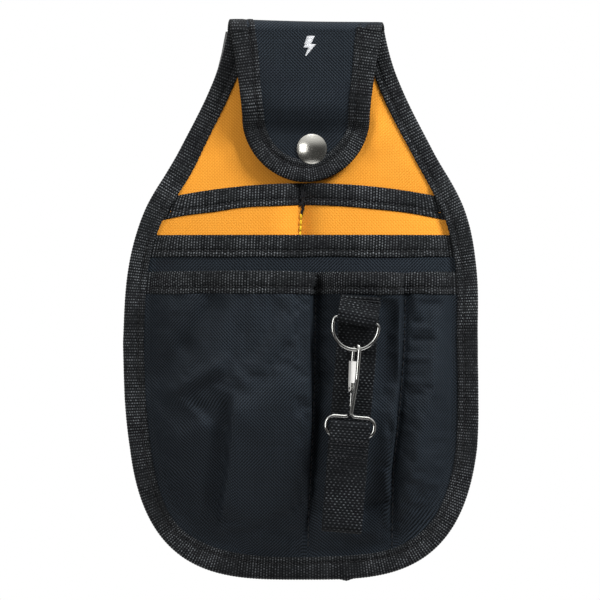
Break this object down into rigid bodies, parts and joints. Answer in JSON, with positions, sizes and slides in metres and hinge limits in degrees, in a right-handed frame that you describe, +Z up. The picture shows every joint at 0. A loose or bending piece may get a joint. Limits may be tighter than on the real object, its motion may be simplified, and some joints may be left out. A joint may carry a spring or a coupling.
{
  "type": "electrician tool pouch",
  "caption": "Flat belt pouch with a snap-closed belt-loop flap, three layered tool pockets, and a webbing strap with a D-ring and snap hook that holds rolls of tape.",
  "frame": {"origin": "middle of the belt loop, between the flap and the front face of the back", "axes": "+Z up along the pouch's length, -Y to the front, where the pockets are, +X to the right as seen from the front"},
  "size_m": [0.1774, 0.0418, 0.281],
  "materials": {
    "black_nylon": "matte twill",
    "orange_canvas": "matte basket weave",
    "binding_tape": "ribbed",
    "webbing": "ribbed",
    "seam_thread": "twisted thread",
    "dark_thread": "twisted thread",
    "badge_thread": "satin stitch",
    "stiffener_board": "foam",
    "snap_metal": "polished nickel",
    "hook_metal": "polished nickel"
  },
  "bodies": {
    "root": {"back_panel": "black_nylon", "back_stiffener": "stiffener_board", "front_liner": "orange_canvas", "edge_binding": "binding_tape", "rear_pocket": "orange_canvas", "rear_pocket_binding": "binding_tape", "divider_stitching": "seam_thread", "divider_bartack": "dark_thread", "cell_stitching": "dark_thread", "anchor_stitching": "dark_thread", "middle_pocket": "black_nylon", "middle_pocket_binding": "binding_tape", "front_pocket": "black_nylon", "front_pocket_binding": "binding_tape", "snap_stud": "snap_metal", "snap_eyelet": "snap_metal", "strap_anchor": "webbing", "flap_fold": "black_nylon"},
    "flap": {"flap_shell": "black_nylon", "flap_stiffener": "stiffener_board", "flap_lining": "black_nylon", "flap_binding": "binding_tape", "flap_badge": "badge_thread", "snap_cap": "snap_metal", "snap_socket": "snap_metal", "snap_spring": "snap_metal"},
    "strap": {"tape_strap": "webbing", "ring_tab": "webbing", "strap_box_stitch": "dark_thread"},
    "ring": {"d_ring": "hook_metal"},
    "hook": {"hook_frame": "hook_metal", "gate_pin": "hook_metal", "gate_spring": "hook_metal"},
    "gate": {"hook_gate": "hook_metal"}
  },
  "joints": [
    {"name": "flap_hinge", "type": "hinge", "parent": "root", "child": "flap", "pos_m": [0, 0.00045, 0.0294], "axis": [-1, 0, 0], "range_deg": [0, 165], "deforming": ["flap_fold", "snap_spring"]},
    {"name": "strap_swing", "type": "hinge", "parent": "root", "child": "strap", "pos_m": [0.0282, -0.0285, -0.112], "axis": [-0.9966, 0, 0.0819], "range_deg": [0, 90]},
    {"name": "ring_swing", "type": "hinge", "parent": "strap", "child": "ring", "pos_m": [0.02652, -0.0304, -0.12104], "axis": [-0.981, 0, 0.1942], "range_deg": [0, 12]},
    {"name": "hook_pivot", "type": "hinge", "parent": "strap", "child": "hook", "pos_m": [0.02274, -0.0304, -0.17838], "axis": [-0.9966, 0, 0.0819], "range_deg": [-4, 0]},
    {"name": "gate_hinge", "type": "hinge", "parent": "hook", "child": "gate", "pos_m": [0.02421, -0.0294, -0.15482], "axis": [0.9033, 0.4226, -0.0743], "range_deg": [0, 16], "stiffness_Nm_per_rad": 0.01, "springref_deg": -20.05}
  ],
  "couplings": [
    {"joint": "hook_pivot", "follows": "ring_swing", "ratio": -0.33}
  ]
}
